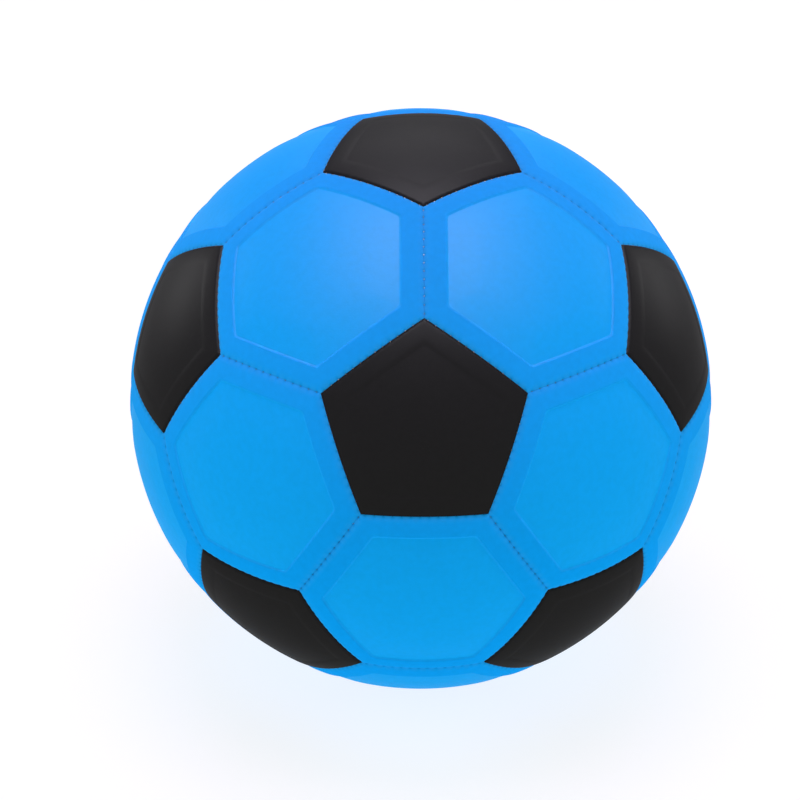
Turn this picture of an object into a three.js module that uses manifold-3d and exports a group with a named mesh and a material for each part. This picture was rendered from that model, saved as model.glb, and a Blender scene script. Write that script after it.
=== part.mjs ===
// Soccer training ball: 32 padded panels sewn edge to edge round an inflated bladder.
// Millimetres, +Z up, origin at the ball's centre. The ball stands on one pentagon and -Y is its front.
import * as THREE from 'three';
import { mergeVertices } from 'three/addons/utils/BufferGeometryUtils.js';
import Module from 'manifold-3d';

// Cover
const BALL_DIAMETER = 206; // over the borders of opposite panels
const PANEL_THICKNESS = 5; // cover, foam and lining, laminated into one sheet
const SEAM_GAP = 0.4; // between the turned-in edges of two panels
const SEAM_DEPTH = 1.3; // of the valley along a seam, below the top of the borders
const SEAM_ROLL = 1.5; // width of the rolled edge beside the valley
const BORDER_FALL = 0.35; // of a border's padding towards its rolled edge
const FIELD_INSET = 7; // from the seam to the step round the pressed field
const FIELD_STEP = 1.1; // width of that step
const FIELD_DEPTH = 0.3; // of the pressed field below the top of the border
const CONTACT_PATCH = 10; // across the flat where the inflated ball meets the floor

// Inside the cover
const THREAD_DIAMETER = 0.6;
const BLADDER_WALL = 1.2;
const CLEARANCE = 0.3; // between pieces that lie on each other

// Valve, along its own axis
const PLUG_HEAD_DIAMETER = 6.4;
const PLUG_HEAD_THICKNESS = 1.2;
const PLUG_SHOULDER = 1; // under the head, all round
const PLUG_TIP = 2.5; // of the plug past the end of its housing
const NEEDLE_DIAMETER = 2; // of the mouth that takes an inflating needle
const NEEDLE_LEAD = 2.4; // depth of that mouth
const VALVE_WALL = 1.1; // rubber round the plug
const VALVE_RECESS = 0.6; // of the valve's face below the panel's field
const HOUSING_LENGTH = 12; // of the housing inside the bladder
const FLANGE_RIM = 10; // of the flange round the housing, bonded to the bladder
const FLANGE_THICKNESS = 1.6;

// Facets
const SEAM_STEPS = 3; // along each side of a panel
const BLADDER_CUTS = 5;
const ROUND_STEPS = 24;

// Angles of a truncated icosahedron, seen from its centre
const GORES = 5;
const TURN = 2 * Math.PI;
const GORE = TURN / GORES;
const PENTAGON_TILT = Math.atan(2); // from the top to the upper pentagons, and between any two that a seam joins
const LEAN = Math.cos(PENTAGON_TILT);
const CROWN_TILT = Math.acos((1 + 2 * LEAN) / Math.sqrt(3 + 6 * LEAN)); // from the top to the crown hexagons
const BAND_TILT = Math.acos(LEAN / Math.sqrt(3 + 6 * LEAN)); // from the top to the upper hexagons
const PENTAGON_CORNER = Math.acos((2 + LEAN) / Math.sqrt(5 + 4 * LEAN)); // from a pentagon's centre
const HEXAGON_CORNER = Math.acos(Math.sqrt((3 + 6 * LEAN) / (5 + 4 * LEAN))); // from a hexagon's centre

// Radii from the ball's centre
const BORDER_RADIUS = BALL_DIAMETER / 2;
const EDGE_RADIUS = BORDER_RADIUS - BORDER_FALL;
const FIELD_RADIUS = BORDER_RADIUS - FIELD_DEPTH;
const BACK_RADIUS = BORDER_RADIUS - PANEL_THICKNESS;

// Radii from the valve's axis
const PLUG_HEAD = PLUG_HEAD_DIAMETER / 2;
const PLUG_SHANK = PLUG_HEAD - PLUG_SHOULDER;
const HEAD_SEAT = PLUG_HEAD + CLEARANCE;
const HOUSING_BORE = PLUG_SHANK + CLEARANCE;
const STEM_RADIUS = HEAD_SEAT + VALVE_WALL;
const HOUSING_RADIUS = HOUSING_BORE + VALVE_WALL;
const VALVE_HOLE = STEM_RADIUS + CLEARANCE;

const wasm = await Module();
wasm.setup();

const coverBlue = new THREE.MeshStandardMaterial({ color: '#169cf0', roughness: 0.5 });
const coverBlack = new THREE.MeshStandardMaterial({ color: '#262626', roughness: 0.5 });
const threadBlack = new THREE.MeshStandardMaterial({ color: '#161616', roughness: 0.8 });
const bladderRubber = new THREE.MeshStandardMaterial({ color: '#34302c', roughness: 0.6 });
const valveRubber = new THREE.MeshStandardMaterial({ color: '#1c1c1c', roughness: 0.55 });
const plugRubber = new THREE.MeshStandardMaterial({ color: '#3a3a3a', roughness: 0.5 });

const pentagon = panelShape(5, PENTAGON_CORNER, 0.5);
const hexagon = panelShape(6, HEXAGON_CORNER, 0);

// A regular panel round +Z. turn is the share of a side by which its first side is turned from +Y.
function panelShape(sides, corner, turn) {
  const half = Math.PI / sides;
  const side = Math.atan(Math.tan(corner) * Math.cos(half));
  return { sides, half, side, start: Math.PI / 2 + 2 * half * turn };
}

// Unit vectors along a panel's outline, drawn in from its seams by a length on the ball's surface
function outline(panel, inset) {
  const drawnIn = inset / BORDER_RADIUS;
  const rise = Math.sin(panel.side);
  const run = Math.cos(panel.side) * Math.cos(panel.half);
  const corner = Math.acos(Math.sin(drawnIn) / Math.hypot(rise, run)) - Math.atan2(run, rise);
  const reach = new THREE.Vector3(
    Math.sin(corner) * Math.cos(panel.half), Math.sin(corner) * Math.sin(panel.half), Math.cos(corner));
  const inward = new THREE.Vector3(-Math.cos(panel.side), 0, Math.sin(panel.side));
  const middle = new THREE.Vector3(Math.sin(panel.side), 0, Math.cos(panel.side));
  const halfSwing = Math.atan2(reach.y, reach.dot(middle));
  const points = [];
  for (let side = 0; side < panel.sides; side++) {
    for (let step = 0; step < SEAM_STEPS; step++) {
      const swing = halfSwing * (2 * step / SEAM_STEPS - 1);
      const along = middle.clone().multiplyScalar(Math.cos(swing));
      along.y += Math.sin(swing);
      const point = along.multiplyScalar(Math.cos(drawnIn)).addScaledVector(inward, Math.sin(drawnIn));
      points.push(point.applyAxisAngle(new THREE.Vector3(0, 0, 1), panel.start + 2 * panel.half * side));
    }
  }
  return points;
}

// The same outline at a distance from the ball's centre, or pressed flat at a height along the panel's axis
function ring(panel, inset, radius) {
  return outline(panel, inset).map((point) => point.multiplyScalar(radius));
}

function flatRing(panel, inset, height) {
  return outline(panel, inset).map((point) => point.multiplyScalar(height / point.z));
}

// A round hole's edge on a sphere, with as many points as the outline round it
function holeRing(panel, hole, radius) {
  const count = panel.sides * SEAM_STEPS;
  const height = Math.sqrt(radius ** 2 - hole ** 2);
  return Array.from({ length: count }, (_, index) => {
    const angle = panel.start - panel.half + TURN * index / count;
    return new THREE.Vector3(hole * Math.cos(angle), hole * Math.sin(angle), height);
  });
}

const pole = (height) => [new THREE.Vector3(0, 0, height)];

// A closed skin over a row of rings, where a ring of one point closes to a pole
function skin(rings, joinEnds) {
  const first = [];
  const positions = [];
  for (const points of rings) {
    first.push(positions.length / 3);
    for (const point of points) positions.push(...point);
  }
  const index = [];
  const bands = joinEnds ? rings.length : rings.length - 1;
  for (let band = 0; band < bands; band++) {
    const next = (band + 1) % rings.length;
    const count = Math.max(rings[band].length, rings[next].length);
    for (let step = 0; step < count; step++) {
      const corner = (row, at) => first[row] + at % rings[row].length;
      const [a, b] = [corner(band, step), corner(band, step + 1)];
      const [c, d] = [corner(next, step + 1), corner(next, step)];
      if (a !== b) index.push(a, b, d);
      if (c !== d) index.push(c, d, b);
    }
  }
  const geometry = new THREE.BufferGeometry();
  geometry.setAttribute('position', new THREE.Float32BufferAttribute(positions, 3));
  geometry.setIndex(index);
  geometry.computeVertexNormals();
  return geometry;
}

// A panel from its back, up its turned-in edge, over its rolled border and down the step to its field
function panelRings(panel) {
  const wall = SEAM_GAP / 2;
  const fieldEdge = FIELD_INSET + FIELD_STEP;
  const centre = panel.side * BORDER_RADIUS;
  const rollDepth = SEAM_DEPTH - BORDER_FALL;
  const rolled = Math.SQRT1_2;
  return {
    back: ring(panel, (wall + centre) / 2, BACK_RADIUS),
    cover: [
      ring(panel, wall, BACK_RADIUS),
      ring(panel, wall, BORDER_RADIUS - SEAM_DEPTH),
      ring(panel, wall + SEAM_ROLL * (1 - rolled), EDGE_RADIUS - rollDepth * (1 - rolled)),
      ring(panel, wall + SEAM_ROLL, EDGE_RADIUS),
      ring(panel, FIELD_INSET, BORDER_RADIUS),
      ring(panel, fieldEdge, FIELD_RADIUS),
      ring(panel, (fieldEdge + centre) / 2, FIELD_RADIUS),
    ],
  };
}

function plainPanel(panel) {
  const { back, cover } = panelRings(panel);
  return skin([pole(BACK_RADIUS), back, ...cover, pole(FIELD_RADIUS)], false);
}

// The panel that the ball stands on, pressed flat at its centre
function standingPanel(panel) {
  const { back, cover } = panelRings(panel);
  const patch = CONTACT_PATCH / 2;
  const height = Math.sqrt(FIELD_RADIUS ** 2 - patch ** 2);
  const inset = (panel.side - Math.asin(patch / FIELD_RADIUS)) * BORDER_RADIUS;
  return skin([pole(BACK_RADIUS), back, ...cover, flatRing(panel, inset, height), pole(height)], false);
}

// The panel with a round hole for the valve
function valvePanel(panel) {
  const { back, cover } = panelRings(panel);
  const inside = holeRing(panel, VALVE_HOLE, BACK_RADIUS);
  const outside = holeRing(panel, VALVE_HOLE, FIELD_RADIUS);
  return skin([inside, back, ...cover, outside], true);
}

// The nearest that the flat facets with corners at a radius come to the ball's centre
function facetReach(geometry, radius) {
  const soup = geometry.index ? geometry.toNonIndexed() : geometry;
  const points = soup.getAttribute('position');
  const [a, b, c] = [new THREE.Vector3(), new THREE.Vector3(), new THREE.Vector3()];
  const facet = new THREE.Triangle(a, b, c);
  const nearest = new THREE.Vector3();
  let reach = radius;
  for (let index = 0; index < points.count; index += 3) {
    facet.setFromAttributeAndIndices(points, index, index + 1, index + 2);
    const onRadius = [a, b, c].every((corner) => Math.abs(corner.length() - radius) < CLEARANCE / 100);
    if (onRadius) reach = Math.min(reach, facet.closestPointToPoint(new THREE.Vector3(), nearest).length());
  }
  return reach;
}

// A turned piece round +Z, from pairs of radius and height
function turned(profile) {
  const geometry = new THREE.LatheGeometry(profile.map(([x, y]) => new THREE.Vector2(x, y)), ROUND_STEPS);
  return geometry.rotateX(Math.PI / 2);
}

function solid(geometry) {
  const bare = geometry.clone();
  bare.deleteAttribute('normal');
  bare.deleteAttribute('uv');
  const merged = mergeVertices(bare);
  const mesh = new wasm.Mesh({
    numProp: 3,
    vertProperties: new Float32Array(merged.getAttribute('position').array),
    triVerts: new Uint32Array(merged.index.array),
  });
  return new wasm.Manifold(mesh);
}

function geometryOf(manifold) {
  const mesh = manifold.getMesh();
  const geometry = new THREE.BufferGeometry();
  geometry.setAttribute('position', new THREE.BufferAttribute(mesh.vertProperties, 3));
  geometry.setIndex(new THREE.BufferAttribute(mesh.triVerts, 1));
  geometry.computeVertexNormals();
  return geometry;
}

function named(name, geometry, material) {
  const mesh = new THREE.Mesh(geometry, material);
  mesh.name = name;
  return mesh;
}

// Puts a panel, or what sits in it, at a tilt from the top, turned round its own axis by twist
function tilted(object, tilt, twist = 0) {
  object.rotation.set(tilt, 0, twist);
  return object;
}

const ball = new THREE.Group();
const gores = Array.from({ length: GORES }, (_, index) => {
  const gore = new THREE.Group();
  gore.rotation.z = GORE * index;
  ball.add(gore);
  return gore;
});
const betweenGores = gores.map((gore) => {
  const between = new THREE.Group();
  between.rotation.z = GORE / 2;
  gore.add(between);
  return between;
});

// Panels: a pentagon at the top and the bottom, and five gores of six panels between them
const HALF_TURN = Math.PI;
const backGore = Math.floor(GORES / 2);
const pentagonPanel = plainPanel(pentagon);
const hexagonPanel = plainPanel(hexagon);
ball.add(tilted(named('pentagon_top', pentagonPanel, coverBlack), 0, HALF_TURN));
ball.add(tilted(named('pentagon_bottom', standingPanel(pentagon), coverBlack), HALF_TURN, HALF_TURN));
gores.forEach((gore, index) => {
  const number = index + 1;
  const between = betweenGores[index];
  const upperHexagon = index === backGore ? valvePanel(hexagon) : hexagonPanel;
  between.add(tilted(named(`hexagon_crown_${number}`, hexagonPanel, coverBlue), CROWN_TILT));
  gore.add(tilted(named(`pentagon_upper_${number}`, pentagonPanel, coverBlack), PENTAGON_TILT));
  between.add(tilted(named(`hexagon_upper_${number}`, upperHexagon, coverBlue), BAND_TILT));
  gore.add(tilted(named(`hexagon_lower_${number}`, hexagonPanel, coverBlue), HALF_TURN - BAND_TILT));
  const lowerTilt = HALF_TURN - PENTAGON_TILT;
  between.add(tilted(named(`pentagon_lower_${number}`, pentagonPanel, coverBlack), lowerTilt, HALF_TURN));
  gore.add(tilted(named(`hexagon_base_${number}`, hexagonPanel, coverBlue), HALF_TURN - CROWN_TILT));
});

// Thread: a loop along the seams of each pentagon and a run along each seam between two hexagons
class SeamRun extends THREE.Curve {
  constructor(from, to, radius, overrun) {
    super();
    this.from = from;
    this.across = to.clone().addScaledVector(from, -from.dot(to)).normalize();
    this.start = -overrun / radius;
    this.sweep = from.angleTo(to) + 2 * overrun / radius;
    this.radius = radius;
  }

  getPoint(share) {
    const angle = this.start + share * this.sweep;
    const point = this.from.clone().multiplyScalar(Math.cos(angle)).addScaledVector(this.across, Math.sin(angle));
    return point.multiplyScalar(this.radius);
  }
}

function seamThread(pentagonPanels) {
  const thickness = THREAD_DIAMETER / 2;
  const wallSlope = Math.atan2(SEAM_DEPTH - BORDER_FALL, SEAM_ROLL);
  const valleyFloor = SEAM_DEPTH + SEAM_GAP / 2 * Math.tan(wallSlope);
  const radius = BORDER_RADIUS - valleyFloor + (thickness + CLEARANCE) / Math.cos(wallSlope);
  const loop = skin([
    ring(pentagon, -thickness, radius),
    ring(pentagon, 0, radius + thickness),
    ring(pentagon, thickness, radius),
    ring(pentagon, 0, radius - thickness),
  ], true);
  const loops = pentagonPanels.map((panel) => solid(loop.clone().applyMatrix4(panel.matrixWorld)));

  const section = new THREE.Shape([[1, 0], [0, 1], [-1, 0], [0, -1]].map(
    ([x, y]) => new THREE.Vector2(thickness * x, thickness * y)));
  const centres = pentagonPanels.map((panel) => new THREE.Vector3(0, 0, 1).transformDirection(panel.matrixWorld));
  const cornerFrom = (one, other) => one.clone().multiplyScalar(2).add(other).normalize();
  const runs = [];
  centres.forEach((one, index) => {
    for (const other of centres.slice(index + 1)) {
      if (one.angleTo(other) > Math.PI / 2) continue;
      const extrudePath = new SeamRun(cornerFrom(one, other), cornerFrom(other, one), radius, thickness);
      runs.push(solid(new THREE.ExtrudeGeometry(section, { steps: SEAM_STEPS, extrudePath })));
    }
  });
  return geometryOf(wasm.Manifold.union([...loops, ...runs]));
}
ball.updateMatrixWorld(true);
const pentagonPanels = [];
ball.traverse((object) => {
  if (object.name.startsWith('pentagon')) pentagonPanels.push(object);
});
ball.add(named('seam_thread', seamThread(pentagonPanels), threadBlack));

// Bladder: a hollow rubber ball against the backs of the panels, open at the valve
const panelBack = Math.min(facetReach(pentagonPanel, BACK_RADIUS), facetReach(hexagonPanel, BACK_RADIUS));
const bladderRadius = panelBack - CLEARANCE;
const bladderInside = bladderRadius - BLADDER_WALL;
const bladderSkin = new THREE.IcosahedronGeometry(bladderRadius, BLADDER_CUTS);
const bladderHollow = new THREE.IcosahedronGeometry(bladderInside, BLADDER_CUTS);
const bladderFacets = facetReach(bladderHollow, bladderInside);

const valve = tilted(new THREE.Group(), BAND_TILT);
betweenGores[backGore].add(valve);
ball.updateMatrixWorld(true);
const valveDrill = turned([[0, 0], [VALVE_HOLE, 0], [VALVE_HOLE, BALL_DIAMETER], [0, BALL_DIAMETER]]);
valveDrill.applyMatrix4(valve.matrixWorld);
const bladder = solid(bladderSkin).subtract(solid(bladderHollow)).subtract(solid(valveDrill));
ball.add(named('bladder', geometryOf(bladder), bladderRubber));

// Valve body: a stem through the bladder and the panel, a flange under the bladder and a housing inside it
const valveFace = Math.sqrt(FIELD_RADIUS ** 2 - VALVE_HOLE ** 2) - VALVE_RECESS;
const headSeat = valveFace - PLUG_HEAD_THICKNESS - CLEARANCE;
const flangeTop = bladderFacets - CLEARANCE;
const flangeReach = HOUSING_RADIUS + FLANGE_RIM;
const onFlange = (reach, drop) => [reach, Math.sqrt(flangeTop ** 2 - reach ** 2) - drop];
const housingEnd = flangeTop - HOUSING_LENGTH;
valve.add(named('valve_body', turned([
  [HOUSING_BORE, housingEnd],
  [HOUSING_RADIUS, housingEnd],
  onFlange(HOUSING_RADIUS, FLANGE_THICKNESS),
  onFlange(flangeReach, FLANGE_THICKNESS),
  onFlange(flangeReach, 0),
  onFlange((flangeReach + STEM_RADIUS) / 2, 0),
  onFlange(STEM_RADIUS, 0),
  [STEM_RADIUS, valveFace],
  [HEAD_SEAT, valveFace],
  [HEAD_SEAT, headSeat],
  [HOUSING_BORE, headSeat],
  [HOUSING_BORE, housingEnd],
]), valveRubber));

// Valve plug: its head lies in the stem's seat, and a mouth in the head guides the needle
const plugTip = housingEnd - PLUG_TIP;
const needle = NEEDLE_DIAMETER / 2;
valve.add(named('valve_plug', turned([
  [0, plugTip],
  [PLUG_SHANK / 2, plugTip],
  [PLUG_SHANK, housingEnd],
  [PLUG_SHANK, valveFace - PLUG_HEAD_THICKNESS],
  [PLUG_HEAD, valveFace - PLUG_HEAD_THICKNESS],
  [PLUG_HEAD, valveFace],
  [needle, valveFace],
  [needle, valveFace - NEEDLE_LEAD + needle],
  [0, valveFace - NEEDLE_LEAD],
]), plugRubber));

export default ball;
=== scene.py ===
import math
import bmesh
import bpy
from mathutils import Matrix, Vector, noise


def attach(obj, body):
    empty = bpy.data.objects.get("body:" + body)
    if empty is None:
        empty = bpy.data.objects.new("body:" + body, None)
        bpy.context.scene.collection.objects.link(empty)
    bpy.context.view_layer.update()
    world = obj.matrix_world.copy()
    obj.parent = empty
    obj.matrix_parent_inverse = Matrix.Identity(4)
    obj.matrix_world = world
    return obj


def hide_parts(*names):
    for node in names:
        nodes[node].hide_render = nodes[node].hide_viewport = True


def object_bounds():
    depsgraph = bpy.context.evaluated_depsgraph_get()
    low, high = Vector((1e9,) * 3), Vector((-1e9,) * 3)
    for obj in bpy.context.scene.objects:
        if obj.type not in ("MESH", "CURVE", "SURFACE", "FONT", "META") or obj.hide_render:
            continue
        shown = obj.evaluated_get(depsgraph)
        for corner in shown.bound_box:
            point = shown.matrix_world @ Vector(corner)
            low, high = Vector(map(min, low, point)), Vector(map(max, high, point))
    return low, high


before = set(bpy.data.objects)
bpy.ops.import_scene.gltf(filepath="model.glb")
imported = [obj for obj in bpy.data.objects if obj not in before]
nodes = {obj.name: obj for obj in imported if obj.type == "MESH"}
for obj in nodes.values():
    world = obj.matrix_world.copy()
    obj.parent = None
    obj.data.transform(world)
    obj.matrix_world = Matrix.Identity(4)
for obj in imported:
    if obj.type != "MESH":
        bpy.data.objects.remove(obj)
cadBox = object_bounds()
mm = 0.001
up = Vector((0, 0, 1))

# sizes that the solids already hold
panelReach = [v.co.length for v in nodes["hexagon_crown_1"].data.vertices]
ballRadius = max(panelReach)            # over the panels' borders
backRadius = min(panelReach)            # at the lining
floorHeight = cadBox[0][2]
print("frame: ball", round(2 * ballRadius / mm, 1), "mm across, panels",
      round((ballRadius - backRadius) / mm, 1), "mm thick")


# small helpers

def fromHex(code):
    channels = [int(code[i:i + 2], 16) / 255 for i in (1, 3, 5)]
    linear = [c / 12.92 if c <= 0.04045 else ((c + 0.055) / 1.055) ** 2.4 for c in channels]
    return (*linear, 1)


def addNode(tree, kind, links=None, **settings):
    node = tree.nodes.new(kind)
    for name, value in settings.items():
        if name in node.bl_rna.properties:
            setattr(node, name, value)
        else:
            node.inputs[name.replace("_", " ")].default_value = value
    for socket, source in (links or {}).items():
        tree.links.new(source, node.inputs[socket])
    return node


def smoothStep(x):
    x = min(max(x, 0), 1)
    return x * x * (3 - 2 * x)


def meshFrom(bm, name):
    mesh = bpy.data.meshes.new(name)
    bm.to_mesh(mesh)
    bm.free()
    return mesh


def finishPiece(bm, name, material, slot, *replaced):
    mesh = meshFrom(bm, name)
    mesh.shade_smooth()
    return placePiece(mesh, name, material, slot, *replaced)


def placePiece(mesh, name, material, slot, *replaced):
    mesh.materials.clear()
    mesh.materials.append(material)
    piece = bpy.data.objects.new(name, mesh)
    bpy.context.scene.collection.objects.link(piece)
    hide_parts(*replaced)
    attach(piece, "root")
    return piece


# layout of the panels: five gores between a top and a bottom pentagon

layout = {
    "gores": 5,
    "pentagonTilt": math.atan(2),       # between two pentagons that one seam joins
}
lean = math.cos(layout["pentagonTilt"])
crownTilt = math.acos((1 + 2 * lean) / math.sqrt(3 + 6 * lean))
bandTilt = math.acos(lean / math.sqrt(3 + 6 * lean))
gore = 2 * math.pi / layout["gores"]


def panelTurn(tilt, turn, twist=0):
    return Matrix.Rotation(turn, 4, "Z") @ Matrix.Rotation(tilt, 4, "X") @ Matrix.Rotation(twist, 4, "Z")


pentagonTurns = {
    "pentagon_top": panelTurn(0, 0, math.pi),
    "pentagon_bottom": panelTurn(math.pi, 0, math.pi),
}
hexagonTurns = {}
for g in range(layout["gores"]):
    here = gore * g
    between = gore * (g + 0.5)
    number = g + 1
    lowerTilt = math.pi - layout["pentagonTilt"]
    pentagonTurns[f"pentagon_upper_{number}"] = panelTurn(layout["pentagonTilt"], here)
    pentagonTurns[f"pentagon_lower_{number}"] = panelTurn(lowerTilt, between, math.pi)
    hexagonTurns[f"hexagon_crown_{number}"] = panelTurn(crownTilt, between)
    hexagonTurns[f"hexagon_upper_{number}"] = panelTurn(bandTilt, between)
    hexagonTurns[f"hexagon_lower_{number}"] = panelTurn(math.pi - bandTilt, here)
    hexagonTurns[f"hexagon_base_{number}"] = panelTurn(math.pi - crownTilt, here)

panelTurns = {**pentagonTurns, **hexagonTurns}
pentagonCentres = [turn.to_3x3() @ up for turn in pentagonTurns.values()]


def seamCorner(one, other):
    return (2 * one + other).normalized()   # a third of the way between two pentagon centres


def nextTo(one, other):
    return one is not other and one.angle(other) < math.pi / 2


seams = []
for i, one in enumerate(pentagonCentres):
    neighbours = [other for other in pentagonCentres if nextTo(one, other)]
    for j, other in enumerate(neighbours):
        if pentagonCentres.index(other) > i:
            seams.append((seamCorner(one, other), seamCorner(other, one)))
        for third in neighbours[j + 1:]:
            if nextTo(other, third):
                seams.append((seamCorner(one, other), seamCorner(one, third)))
print("layout:", len(pentagonTurns), "pentagons,", len(hexagonTurns), "hexagons,", len(seams), "seams")


# sewing that both the panels and the thread follow

sewing = {
    "stitches": 14,             # along each seam
    "seamAngle": seams[0][0].angle(seams[0][1]),
    "pullSharpness": 4,         # higher keeps a stitch's pull closer to it
}
stitchPitch = sewing["seamAngle"] / sewing["stitches"]


# panels: foam-backed sheets with a rolled edge, a smooth border and a pressed field
# where a value differs, 5 is for the pentagons and 6 for the hexagons

panel = {
    "pointsPerStitch": 5,
    "edgeGap": 0.02 * mm,       # from the seam's middle to the panel's edge, between stitches
    "notch": 0.05 * mm,         # that each stitch draws the edge back
    "rollWidth": {5: 1.2 * mm, 6: 2.2 * mm},        # of the turned-in edge
    "rollDepth": {5: 0.55 * mm, 6: 0.45 * mm},
    "shoulderWidth": 7 * mm,    # slow fall of the padding towards the seam
    "shoulderDepth": {5: 0.3 * mm, 6: 0.35 * mm},
    "puckerDepth": 0.12 * mm,   # that each stitch draws the edge down
    "puckerReach": 0.8 * mm,
    "holeShadeReach": 0.5 * mm,    # reach of the painted shade in each needle hole
    "stepInset": {5: 5.8 * mm, 6: 7.05 * mm},       # from the seam to the pressed field
    "stepWidth": {5: 2 * mm, 6: 1 * mm},
    "stepDepth": {5: 0.16 * mm, 6: 0.55 * mm},
    "swell": 0.85,              # share of that depth that the padding takes back in the field's middle
    "swellReach": 13 * mm,
    "stepCorner": 0.25 * mm,    # softness of the field's corners
    "unevenness": 0.06 * mm,    # of the padding
    "unevenSize": 24 * mm,
    "liningMargin": 1 * mm,     # points this close to the lining stay even
    # rows of points, counted and measured in from the seam: close together at the edge and at the step
    "rows": [(0, 0.02 * mm), (9, 1.5 * mm), (14, 4 * mm), (18, 6.9 * mm), (28, 8.2 * mm)],
    "leastWidth": 1e-9,         # keeps the panel's middle point from a division by zero
}
panelRows = sewing["stitches"] * panel["pointsPerStitch"]       # from the seam to the panel's middle
valveHole = {
    "panel": "hexagon_upper_3",
    "radius": 4.9 * mm,
    "rows": 7,                  # cut out of the panel's middle
    "easeRows": 20,             # that turn from the panel's outline to a circle
    "rim": 0.5 * mm,            # depth of the rim's round
    "rimSpread": 3,             # its width, in such depths
}


def outlineOf(sides):
    corner = math.acos(math.sqrt((3 + 6 * lean) / (5 + 4 * lean)))
    if sides == 5:
        corner = math.acos((2 + lean) / math.sqrt(5 + 4 * lean))
    half = math.pi / sides
    side = math.atan(math.tan(corner) * math.cos(half))
    start = math.pi / 2 + (half if sides % 2 else 0)
    return {"half": half, "side": side, "start": start}


def sideFrame(outline, index):
    angle = outline["start"] + 2 * outline["half"] * index
    outward = Vector((math.cos(angle), math.sin(angle), 0))
    along = Vector((-math.sin(angle), math.cos(angle), 0))
    inward = math.sin(outline["side"]) * up - math.cos(outline["side"]) * outward
    middle = math.cos(outline["side"]) * up + math.sin(outline["side"]) * outward
    return outward, along, inward, middle


def swingAt(outline, drawnIn):
    # half the angle that a side spans once it is drawn in from the seam
    rise = math.sin(outline["side"])
    run = math.cos(outline["side"]) * math.cos(outline["half"])
    corner = math.acos(math.sin(drawnIn) / math.hypot(rise, run)) - math.atan2(run, rise)
    reach = math.cos(corner) * math.cos(outline["side"])
    reach += math.sin(corner) * math.cos(outline["half"]) * math.sin(outline["side"])
    return math.atan2(math.sin(corner) * math.sin(outline["half"]), reach)


def insetAtRow(row, apothem):
    stations = panel["rows"] + [(panelRows, apothem)]
    for (rowA, insetA), (rowB, insetB) in zip(stations, stations[1:]):
        if row <= rowB:
            return insetA + (insetB - insetA) * (row - rowA) / (rowB - rowA)
    return apothem


def stitchPull(swing):
    # 1 at each stitch and 0 halfway between two
    return (0.5 - 0.5 * math.cos(2 * math.pi * swing / stitchPitch)) ** sewing["pullSharpness"]


def coverHeight(inset, softInset, pull, sides):
    rolled = 1 - min(max((inset - panel["edgeGap"]) / panel["rollWidth"][sides], 0), 1)
    drop = panel["rollDepth"][sides] * rolled ** 2
    drop += panel["shoulderDepth"][sides] * max(0, 1 - softInset / panel["shoulderWidth"]) ** 2
    drop += panel["puckerDepth"] * pull * math.exp(-(inset / panel["puckerReach"]) ** 2)
    past = softInset - panel["stepInset"][sides]
    field = smoothStep(past / panel["stepWidth"][sides])
    swollen = panel["swell"] * smoothStep(past / panel["swellReach"])
    return -drop - field * (1 - swollen) * panel["stepDepth"][sides], field


def panelMesh(name, sides, hole=None):
    outline = outlineOf(sides)
    frames = [sideFrame(outline, i) for i in range(sides)]
    apothem = outline["side"] * ballRadius
    bm = bmesh.new()
    bmesh.ops.create_circle(bm, cap_ends=True, cap_tris=True, segments=sides, radius=1)
    bmesh.ops.subdivide_edges(bm, edges=bm.edges[:], cuts=panelRows - 1, use_grid_fill=True)
    turn = Matrix.Rotation(0 if sides % 2 else outline["half"], 3, "Z")
    bmesh.ops.rotate(bm, verts=bm.verts[:], matrix=turn)
    if hole:
        limit = math.cos(outline["half"]) * (hole["rows"] - 0.5) / panelRows    # between two rows
        inner = [v for v in bm.verts if max(v.co.dot(f[0]) for f in frames) < limit]
        bmesh.ops.delete(bm, geom=inner, context="VERTS")
    fieldLayer = bm.verts.layers.float.new("field")
    stretchAndHighlightLayer = bm.verts.layers.float.new("stretchAndHighlight")
    holeShadeLayer = bm.verts.layers.float.new("holeShade")
    creaseAndHighlightLayer = bm.verts.layers.float.new("creaseAndHighlight")
    for v in bm.verts:
        outward, along, inward, middle = max(frames, key=lambda f: v.co.dot(f[0]))
        flatReach = v.co.dot(outward)
        ringRow = panelRows * flatReach / math.cos(outline["half"])
        share = v.co.dot(along) / max(flatReach * math.tan(outline["half"]), panel["leastWidth"])
        inset = insetAtRow(panelRows - ringRow, apothem)
        drawnIn = inset / ballRadius
        swing = swingAt(outline, drawnIn) * share
        pull = stitchPull(swing)
        nearEdge = max(0, 1 - inset / panel["rollWidth"][sides])
        drawnIn += panel["notch"] * pull * nearEdge / ballRadius
        onSeam = math.cos(swing) * middle + math.sin(swing) * along
        direction = (math.cos(drawnIn) * onSeam + math.sin(drawnIn) * inward).normalized()
        if hole:
            direction = easeToHole(direction, ringRow, hole, outline)
        insets = [math.asin(direction.dot(f[2])) * ballRadius for f in frames]
        soft = panel["stepCorner"]
        softInset = -soft * math.log(sum(math.exp(-d / soft) for d in insets))
        height, field = coverHeight(inset, softInset, pull, sides)
        if hole:
            height -= holeRim(direction, hole)
        v.co = direction * (ballRadius + height)
        v[fieldLayer] = field
        # partly real stress whitening, partly a painted highlight: 1 at the rolled edge between the
        # stitches
        v[stretchAndHighlightLayer] = nearEdge * (1 - pull)
        # painted shade: 1 in each needle hole at the edge, where the cover's colour is darkened
        v[holeShadeLayer] = pull * math.exp(-(inset / panel["holeShadeReach"]) ** 2)
        v[creaseAndHighlightLayer] = 4 * field * (1 - field)        # 1 halfway down the step, where the whitening and painted highlight are strongest
    closeBack(bm, hole)
    bmesh.ops.recalc_face_normals(bm, faces=bm.faces[:])
    for face in bm.faces:
        face.smooth = True
    return meshFrom(bm, name)


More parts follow.
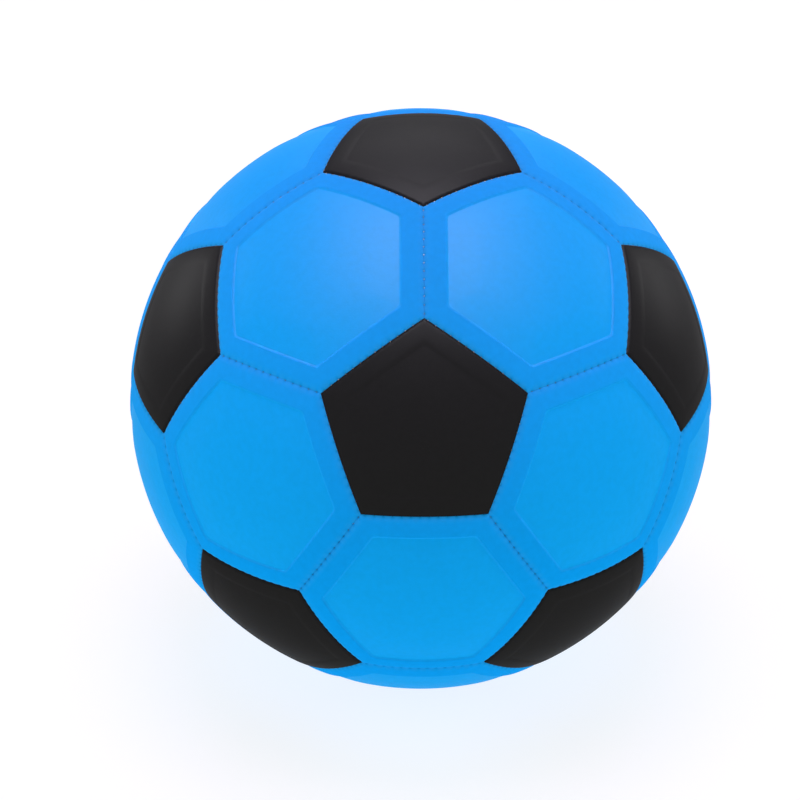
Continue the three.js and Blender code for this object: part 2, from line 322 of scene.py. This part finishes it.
def easeToHole(direction, ringRow, hole, outline):
    # rows near the hole turn from the panel's outline to a circle
    polar = direction.angle(up)
    roundPolar = math.asin(hole["radius"] / ballRadius)
    roundPolar += (ringRow - hole["rows"]) * outline["side"] / panelRows
    ease = smoothStep((ringRow - hole["rows"]) / hole["easeRows"])
    eased = roundPolar + (polar - roundPolar) * ease
    flat = Vector((direction.x, direction.y, 0)).normalized()
    return math.cos(eased) * up + math.sin(eased) * flat


def holeRim(direction, hole):
    reach = ballRadius * math.sin(direction.angle(up)) - hole["radius"]
    rolled = 1 - min(max(reach / hole["rim"] / hole["rimSpread"], 0), 1)
    return hole["rim"] * (1 - math.sqrt(1 - rolled ** 2))


def closeBack(bm, hole):
    # the turned-in edge runs down to the lining, which closes the panel
    rim = [e for e in bm.edges if e.is_boundary]
    for edge in rim:
        edge.smooth = False
    wall = bmesh.ops.extrude_edge_only(bm, edges=rim)["geom"]
    lining = [g for g in wall if isinstance(g, bmesh.types.BMVert)]
    for v in lining:
        v.co = v.co.normalized() * backRadius
    edges = [g for g in wall if isinstance(g, bmesh.types.BMEdge) and g.is_boundary]
    if hole:
        bmesh.ops.bridge_loops(bm, edges=edges)
    else:
        back = bmesh.ops.contextual_create(bm, geom=edges)["faces"]
        centre = bmesh.ops.poke(bm, faces=back)["verts"]
        for v in centre:
            v.co = v.co.normalized() * backRadius


def settle(mesh):
    # padding under a sewn cover is never quite even, and the ball sits flat on the floor
    for v in mesh.vertices:
        if v.co.length > backRadius + panel["liningMargin"]:
            v.co *= 1 + panel["unevenness"] * noise.noise(v.co / panel["unevenSize"]) / ballRadius
            v.co.z = max(v.co.z, floorHeight)


# materials

colourA, colourB, colourOut = 6, 7, 2       # sockets of a Mix node that mixes colours


def newMaterial(name, **constants):
    material = bpy.data.materials.new(name)
    material.use_nodes = True
    tree = material.node_tree
    shader = tree.nodes["Principled BSDF"]
    for socket, value in constants.items():
        shader.inputs[socket.replace("_", " ")].default_value = value
    return material, tree, shader


# PVC leather: an embossed vinyl skin on foam. The blue border stays matt, and the hot-pressed field has a
# finer polish that takes a soft sheen; its colour is set a shade paler, which is partly real and partly a
# painted sheen. The black is alike all over, dull satin.
cover = {
    "grainSize": 0.7 * mm,      # coarser than a real emboss, which would be too fine to show
    "grainDepth": 0.03 * mm,
    "borderGrain": 0.25,        # share of that depth on the border
    "mottleSize": 2.2 * mm,     # slight unevenness of the pigment
    "mottle": 0.025,
    "mottleRange": (0.3, 0.7),  # part of the noise that spans it
    "stretchAndHighlight": 0.1,             # whitening where the skin turns over the edge, partly real stress whitening and partly a painted highlight along the rolled edge
    "holeShade": 0.34,             # painted shade: the skin's colour darkened in the needle holes
    "creaseAndHighlight": 0.02,             # whitening along the pressed step, partly a real polished crease and partly a painted highlight on the step
    "blue": {
        "border": "#079ff3", "field": "#0ca7f6", "stretchAndHighlight": "#62aec4", "holeShade": "#0a4560",
        "creaseAndHighlight": "#84d2ff", "specular": 0.01, "borderRoughness": 0.9, "fieldRoughness": 0.53,
    },
    "black": {
        "border": "#222222", "field": "#222222", "stretchAndHighlight": "#232323", "holeShade": "#060606",
        "creaseAndHighlight": "#252525", "specular": 0.004, "borderRoughness": 0.43, "fieldRoughness": 0.43,
    },
}


def coverMaterial(name, look):
    material, tree, shader = newMaterial(name, Specular_IOR_Level=look["specular"])
    place = addNode(tree, "ShaderNodeTexCoord").outputs["Object"]
    field = addNode(tree, "ShaderNodeAttribute", attribute_name="field").outputs["Fac"]
    grain = addNode(tree, "ShaderNodeTexNoise", {"Vector": place}, Scale=1 / cover["grainSize"], Detail=2)
    mottle = addNode(tree, "ShaderNodeTexNoise", {"Vector": place}, Scale=1 / cover["mottleSize"], Detail=2)
    # the field's paler colour is partly a painted sheen
    pigment = addNode(tree, "ShaderNodeMix", {"Factor": field}, data_type="RGBA")
    pigment.inputs[colourA].default_value = fromHex(look["border"])
    pigment.inputs[colourB].default_value = fromHex(look["field"])
    skin = pigment.outputs[colourOut]
    # colour laid over the pigment: a painted highlight along the rolled edge and along the step, each
    # partly real whitening, and painted shade in the needle holes
    for change in ("stretchAndHighlight", "holeShade", "creaseAndHighlight"):
        amount = addNode(tree, "ShaderNodeAttribute", attribute_name=change).outputs["Fac"]
        share = addNode(tree, "ShaderNodeMapRange", {"Value": amount}, To_Max=cover[change])
        changed = addNode(tree, "ShaderNodeMix", {"Factor": share.outputs["Result"], colourA: skin},
                          data_type="RGBA")
        changed.inputs[colourB].default_value = fromHex(look[change])
        skin = changed.outputs[colourOut]
    low, high = cover["mottleRange"]
    tone = addNode(tree, "ShaderNodeMapRange", {"Value": mottle.outputs["Fac"]},
                   From_Min=low, From_Max=high, To_Min=1 - cover["mottle"], To_Max=1 + cover["mottle"])
    colour = addNode(tree, "ShaderNodeHueSaturation", {"Color": skin, "Value": tone.outputs["Result"]})
    roughness = addNode(tree, "ShaderNodeMapRange", {"Value": field}, To_Min=look["borderRoughness"],
                        To_Max=look["fieldRoughness"])
    depth = addNode(tree, "ShaderNodeMapRange", {"Value": field}, To_Min=cover["borderGrain"], To_Max=1)
    bump = addNode(tree, "ShaderNodeBump",
                   {"Height": grain.outputs["Fac"], "Strength": depth.outputs["Result"]},
                   Distance=cover["grainDepth"])
    tree.links.new(colour.outputs["Color"], shader.inputs["Base Color"])
    tree.links.new(roughness.outputs["Result"], shader.inputs["Roughness"])
    tree.links.new(bump.outputs["Normal"], shader.inputs["Normal"])
    return material


blueCover = coverMaterial("blue pressed PVC leather", cover["blue"])
blackCover = coverMaterial("black pressed PVC leather", cover["black"])


# Spun polyester thread: twisted plies, waxed, so it looks matt and streaky
thread = {
    "colour": "#14181b",
    "plyShadeRange": (0.6, 1.6),    # painted shade in the hollows between the plies, up to a painted highlight on their backs
    "roughness": 0.7,
    "plySize": 0.2 * mm,
    "plyDepth": 0.03 * mm,
}


def threadMaterial():
    material, tree, shader = newMaterial("black polyester thread", Roughness=thread["roughness"])
    place = addNode(tree, "ShaderNodeTexCoord").outputs["Object"]
    plies = addNode(tree, "ShaderNodeTexNoise", {"Vector": place}, Scale=1 / thread["plySize"], Detail=1)
    dark, light = thread["plyShadeRange"]
    # painted shade and highlight that follow the plies' bump
    tone = addNode(tree, "ShaderNodeMapRange", {"Value": plies.outputs["Fac"]}, To_Min=dark, To_Max=light)
    colour = addNode(tree, "ShaderNodeHueSaturation", {"Value": tone.outputs["Result"]},
                     Color=fromHex(thread["colour"]))
    bump = addNode(tree, "ShaderNodeBump", {"Height": plies.outputs["Fac"]}, Distance=thread["plyDepth"])
    tree.links.new(colour.outputs["Color"], shader.inputs["Base Color"])
    tree.links.new(bump.outputs["Normal"], shader.inputs["Normal"])
    return material


sewingThread = threadMaterial()


# Moulded rubber: dull, with fine pits and a dusting of the talc it was packed in
rubber = {
    "specular": 0.35,
    "dustRange": (0.45, 0.75),  # part of the noise where the talc sets in
    "polish": 0.1,              # roughness less than the usual on clean rubber
    "dustRoughness": 0.2,       # and more than the usual under talc
    "bladder": {
        "colour": "#2c2824", "dustColour": "#8a857c", "dust": 0.35, "dustSize": 9 * mm,
        "roughness": 0.55, "pitSize": 0.8 * mm, "pitDepth": 0.05 * mm,
    },
    "valve": {
        "colour": "#141414", "dustColour": "#5a5853", "dust": 0.2, "dustSize": 1.8 * mm,
        "roughness": 0.5, "pitSize": 0.35 * mm, "pitDepth": 0.02 * mm,
    },
    "plug": {
        "colour": "#2a2a2b", "dustColour": "#77746e", "dust": 0.2, "dustSize": 1.2 * mm,
        "roughness": 0.45, "pitSize": 0.3 * mm, "pitDepth": 0.02 * mm,
    },
}


def rubberMaterial(name, look):
    material, tree, shader = newMaterial(name, Specular_IOR_Level=rubber["specular"])
    place = addNode(tree, "ShaderNodeTexCoord").outputs["Object"]
    dust = addNode(tree, "ShaderNodeTexNoise", {"Vector": place}, Scale=1 / look["dustSize"], Detail=4)
    pits = addNode(tree, "ShaderNodeTexNoise", {"Vector": place}, Scale=1 / look["pitSize"], Detail=2)
    low, high = rubber["dustRange"]
    amount = addNode(tree, "ShaderNodeMapRange", {"Value": dust.outputs["Fac"]},
                     From_Min=low, From_Max=high, To_Max=look["dust"])
    colour = addNode(tree, "ShaderNodeMix", {"Factor": amount.outputs["Result"]}, data_type="RGBA")
    colour.inputs[colourA].default_value = fromHex(look["colour"])
    colour.inputs[colourB].default_value = fromHex(look["dustColour"])
    gloss = addNode(tree, "ShaderNodeMapRange", {"Value": dust.outputs["Fac"]},
                    To_Min=look["roughness"] - rubber["polish"],
                    To_Max=look["roughness"] + rubber["dustRoughness"])
    bump = addNode(tree, "ShaderNodeBump", {"Height": pits.outputs["Fac"]}, Distance=look["pitDepth"])
    tree.links.new(colour.outputs[colourOut], shader.inputs["Base Color"])
    tree.links.new(gloss.outputs["Result"], shader.inputs["Roughness"])
    tree.links.new(bump.outputs["Normal"], shader.inputs["Normal"])
    return material


bladderRubber = rubberMaterial("butyl rubber, moulded", rubber["bladder"])
valveRubber = rubberMaterial("black valve rubber, moulded", rubber["valve"])
plugRubber = rubberMaterial("grey plug rubber, moulded", rubber["plug"])


# every panel is a copy of one of three meshes, turned into its place

hexagonMesh = panelMesh("hexagon", 6)
pentagonMesh = panelMesh("pentagon", 5)
valveHexagonMesh = panelMesh("valve hexagon", 6, valveHole)
print("panels: hexagon", len(hexagonMesh.polygons), "faces, pentagon", len(pentagonMesh.polygons), "faces")

for node, turn in panelTurns.items():
    black = node in pentagonTurns
    source = pentagonMesh if black else hexagonMesh
    if node == valveHole["panel"]:
        source = valveHexagonMesh
    mesh = source.copy()
    mesh.transform(turn)
    settle(mesh)
    piece = placePiece(mesh, node + "_panel", blackCover if black else blueCover,
                       "cover_black" if black else "cover_blue", node)
print("panels: placed", len(panelTurns))


# stitches: a short bar of thread across the seam at every hole pair

stitch = {
    "diameter": 0.3 * mm,
    "halfSpan": 0.24 * mm,
    "sides": 6,
    "steps": 6,
    "flatten": 0.75,
    "depth": 1.12 * mm,         # of the bar's ends below the border
    "slant": math.radians(10),
}


def stitchMesh():
    bm = bmesh.new()
    bmesh.ops.create_circle(bm, cap_ends=True, segments=stitch["sides"], radius=stitch["diameter"] / 2)
    bmesh.ops.translate(bm, verts=bm.verts[:], vec=(-stitch["halfSpan"], 0, 0))
    bmesh.ops.spin(bm, geom=bm.verts[:] + bm.edges[:] + bm.faces[:], cent=(0, 0, 0), axis=(0, 1, 0),
                   dvec=(0, 0, 0), angle=math.pi, steps=stitch["steps"])
    bmesh.ops.scale(bm, verts=bm.verts[:], vec=(1, 1, stitch["flatten"]))
    bmesh.ops.recalc_face_normals(bm, faces=bm.faces[:])
    return meshFrom(bm, "stitch")


def sewSeams():
    one = stitchMesh()
    size = len(one.vertices)
    bm = bmesh.new()
    for start, end in seams:
        across = start.cross(end).normalized()
        for j in range(sewing["stitches"]):
            here = Matrix.Rotation((j + 0.5) * stitchPitch, 3, across) @ start
            along = across.cross(here)
            place = Matrix((across, along, here)).transposed().to_4x4()
            place.translation = here * (ballRadius - stitch["depth"])
            place = place @ Matrix.Rotation(stitch["slant"], 4, "Z")
            bm.from_mesh(one)
            bm.verts.ensure_lookup_table()
            bmesh.ops.transform(bm, matrix=place, verts=bm.verts[-size:])
    return bm


finishPiece(sewSeams(), "seam_stitches", sewingThread, "thread", "seam_thread")
print("stitches:", len(seams) * sewing["stitches"])

# bladder: hidden under the panels, so its solid stays
nodes["bladder"].data.materials.clear()
nodes["bladder"].data.materials.append(bladderRubber)


# valve: a moulded body and its plug, turned round the valve's own axis

valve = {
    "steps": 64,                # of each turned shape
    "edge": 0.22 * mm,          # round on the moulded edges
    "edgeSegments": 4,
    "edgeAngle": math.radians(40),      # bends sharper than this are rounded
    "flangeFoot": 0.9,          # share of its rise where the flange's underside meets the housing
    "flangeTop": 0.88,          # and where its upper face meets the stem
    "dish": 0.18 * mm,          # hollow of the plug's head
    "dishReach": 0.72,          # share of the head's radius that is hollow
    "lip": 0.3 * mm,            # round at the needle's mouth
    "needle": 1 * mm,           # radius of that mouth
    "needleDepth": 2.4 * mm,
    "shankBelow": 1 * mm,       # under the head, where only the shank is left
    "sameCorner": 0.01 * mm,    # corners of the solid this close count as level
    "sameVertex": 0.001 * mm,
}
valveTurn = hexagonTurns[valveHole["panel"]]
valveInverse = valveTurn.to_3x3().transposed()


def turnedProfile(node):
    # radius and height of the solid's corners along the valve's axis
    local = [valveInverse @ v.co for v in nodes[node].data.vertices]
    return [(math.hypot(p.x, p.y), p.z) for p in local]


def turnPiece(points, name, material, slot, node):
    bm = bmesh.new()
    ring = [bm.verts.new((r, 0, z)) for r, z in points]
    closed = points[0][0] > 0
    ends = ring[1:] + ring[:1] if closed else ring[1:]
    for a, b in zip(ring, ends):
        bm.edges.new((a, b))
    bmesh.ops.spin(bm, geom=bm.verts[:] + bm.edges[:], cent=(0, 0, 0), axis=(0, 0, 1),
                   dvec=(0, 0, 0), angle=2 * math.pi, steps=valve["steps"], use_merge=True)
    bmesh.ops.remove_doubles(bm, verts=bm.verts[:], dist=valve["sameVertex"])
    bmesh.ops.recalc_face_normals(bm, faces=bm.faces[:])
    sharp = [e for e in bm.edges if e.is_manifold and e.calc_face_angle() > valve["edgeAngle"]]
    bmesh.ops.bevel(bm, geom=sharp, offset=valve["edge"], segments=valve["edgeSegments"], profile=0.5,
                    affect="EDGES", material=-1)
    bmesh.ops.transform(bm, matrix=valveTurn, verts=bm.verts[:])
    return finishPiece(bm, name, material, slot, node)


near = valve["sameCorner"]
bodyProfile = turnedProfile("valve_body")
valveFace = max(z for r, z in bodyProfile)
housingEnd = min(z for r, z in bodyProfile)
flangeReach = max(r for r, z in bodyProfile)
faceRadii = sorted(r for r, z in bodyProfile if z > valveFace - near)
endRadii = sorted(r for r, z in bodyProfile if z < housingEnd + near)
flangeRim = sorted(z for r, z in bodyProfile if r > flangeReach - near)
seatHeight = max(z for r, z in bodyProfile if r < endRadii[0] + near)
flangeRise = math.hypot(flangeReach, flangeRim[-1]) - flangeRim[-1]     # the flange follows the bladder
turnPiece([
    (endRadii[0], housingEnd),
    (endRadii[-1], housingEnd),
    (endRadii[-1], flangeRim[0] + flangeRise * valve["flangeFoot"]),
    (flangeReach, flangeRim[0]),
    (flangeReach, flangeRim[-1]),
    (faceRadii[-1], flangeRim[-1] + flangeRise * valve["flangeTop"]),
    (faceRadii[-1], valveFace),
    (faceRadii[0], valveFace),
    (faceRadii[0], seatHeight),
    (endRadii[0], seatHeight),
], "valve_stem", valveRubber, "valve", "valve_body")

plugProfile = turnedProfile("valve_plug")
headRadius = max(r for r, z in plugProfile)
headFoot = min(z for r, z in plugProfile if r > headRadius - near)
plugTip = min(z for r, z in plugProfile)
tipRadius = max(r for r, z in plugProfile if z < plugTip + near)
shank = max(r for r, z in plugProfile if z < headFoot - valve["shankBelow"])
turnPiece([
    (0, plugTip),
    (tipRadius, plugTip),
    (shank, housingEnd),
    (shank, headFoot),
    (headRadius, headFoot),
    (headRadius, valveFace),
    (valve["dishReach"] * headRadius, valveFace - valve["dish"]),
    (valve["needle"] + valve["lip"], valveFace - valve["dish"]),
    (valve["needle"], valveFace - valve["dish"] - valve["lip"]),
    (valve["needle"], valveFace - valve["needleDepth"] + valve["needle"]),
    (0, valveFace - valve["needleDepth"]),
], "valve_insert", plugRubber, "valve_plug", "valve_plug")
print("valve: stem", round(2 * faceRadii[-1] / mm, 1), "mm across")


# floor, light and camera

studio = {
    "floorColour": "#9c9a96",
    "floorRoughness": 0.9,
    "floorGlow": 0.77,          # of the lit table under the ball
    "floorSize": 6,
    "roomLight": 0.35,          # that falls on the ball from the walls
    "roomShade": 0.86,          # of the walls as the camera sees them
}
white = fromHex("#ffffff")

# White acrylic over a lit table: matt and glowing, so that the ball's shadow stays faint
lightTable = newMaterial("white acrylic light table", Base_Color=fromHex(studio["floorColour"]),
                         Roughness=studio["floorRoughness"], Specular_IOR_Level=0,
                         Emission_Color=white, Emission_Strength=studio["floorGlow"])[0]
bm = bmesh.new()
bmesh.ops.create_grid(bm, x_segments=1, y_segments=1, size=studio["floorSize"] / 2)
bmesh.ops.translate(bm, verts=bm.verts[:], vec=(0, 0, floorHeight))
floorMesh = meshFrom(bm, "floor")
floorMesh.materials.append(lightTable)
floor = bpy.data.objects.new("floor", floorMesh)
bpy.context.scene.collection.objects.link(floor)

world = bpy.data.worlds.new("studio")
bpy.context.scene.world = world
world.use_nodes = True
room = world.node_tree.nodes["Background"]
room.inputs["Color"].default_value = white
seen = addNode(world.node_tree, "ShaderNodeLightPath").outputs["Is Camera Ray"]
strength = addNode(world.node_tree, "ShaderNodeMapRange", {"Value": seen}, To_Min=studio["roomLight"],
                   To_Max=studio["roomShade"])
world.node_tree.links.new(strength.outputs["Result"], room.inputs["Strength"])

# a softbox lights the pigment and a sheen lamp shows only in the gloss, so each can be set by itself
# places and sizes in metres, powers in watts
lamps = {
    "overhead softbox": {"place": (0, 0, 1.5), "size": 0.9, "power": 11.2, "tint": "#e2caff"},
    "back softbox": {"place": (0, 1.2, 0.9), "size": 1.2, "power": 2.8, "tint": "#e6d6ff"},
    "left softbox": {"place": (-1.46, 0.1, 0.36), "size": 0.9, "power": 5},
    "right softbox": {"place": (1.46, 0.1, 0.36), "size": 0.9, "power": 5},
    "front softbox": {"place": (0, -1.45, 0.38), "size": 0.9, "power": 3.1, "tint": "#f8ffe8"},
    "overhead sheen": {"place": (0, 0, 1.5), "size": 1.5, "power": 1000, "tint": "#f6f2ff",
                       "glossOnly": True},
    "back sheen": {"place": (0, 1.08, 1.05), "size": 1.2, "power": 58, "glossOnly": True},
    "left sheen": {"place": (-1.2, 0.88, 0.18), "size": 0.5, "power": 20, "glossOnly": True},
    "right sheen": {"place": (1.2, 0.88, 0.18), "size": 0.5, "power": 17, "glossOnly": True},
}


def hangLamp(name, place, size, power, tint="#ffffff", glossOnly=False):
    light = bpy.data.lights.new(name, "AREA")
    light.color = fromHex(tint)[:3]
    light.shape = "DISK"
    light.size = size
    light.energy = power
    lamp = bpy.data.objects.new(name, light)
    lamp.location = place
    lamp.rotation_euler = (-Vector(place)).to_track_quat("-Z", "Y").to_euler()
    lamp.visible_glossy = glossOnly
    lamp.visible_diffuse = not glossOnly
    bpy.context.scene.collection.objects.link(lamp)


for name, settings in lamps.items():
    hangLamp(name, **settings)
print("light:", len(lamps), "lamps")

view = {
    "azimuth": math.radians(-0.84),
    "elevation": math.radians(32.02),
    "roll": math.radians(0.31),
    "distance": 9.65 * ballRadius,
    "frame": 800,
    "ballPixels": 290.66,       # radius of the ball in the frame
    "ballCentre": (420.71, 398.42),
    "sensor": 36,
}
toCamera = Vector((math.sin(view["azimuth"]) * math.cos(view["elevation"]),
                   -math.cos(view["azimuth"]) * math.cos(view["elevation"]), math.sin(view["elevation"])))
upright = toCamera.to_track_quat("Z", "Y").to_matrix()
camera = bpy.data.objects.new("camera", bpy.data.cameras.new("camera"))
camera.location = toCamera * view["distance"]
camera.rotation_euler = (upright @ Matrix.Rotation(view["roll"], 3, "Z")).to_euler()
focalPixels = view["ballPixels"] * math.sqrt((view["distance"] / ballRadius) ** 2 - 1)
camera.data.sensor_width = view["sensor"]
camera.data.lens = view["sensor"] * focalPixels / view["frame"]
camera.data.shift_x = (view["frame"] / 2 - view["ballCentre"][0]) / view["frame"]
camera.data.shift_y = (view["ballCentre"][1] - view["frame"] / 2) / view["frame"]
bpy.context.scene.collection.objects.link(camera)
bpy.context.scene.camera = camera
bpy.context.scene.view_settings.view_transform = "Standard"
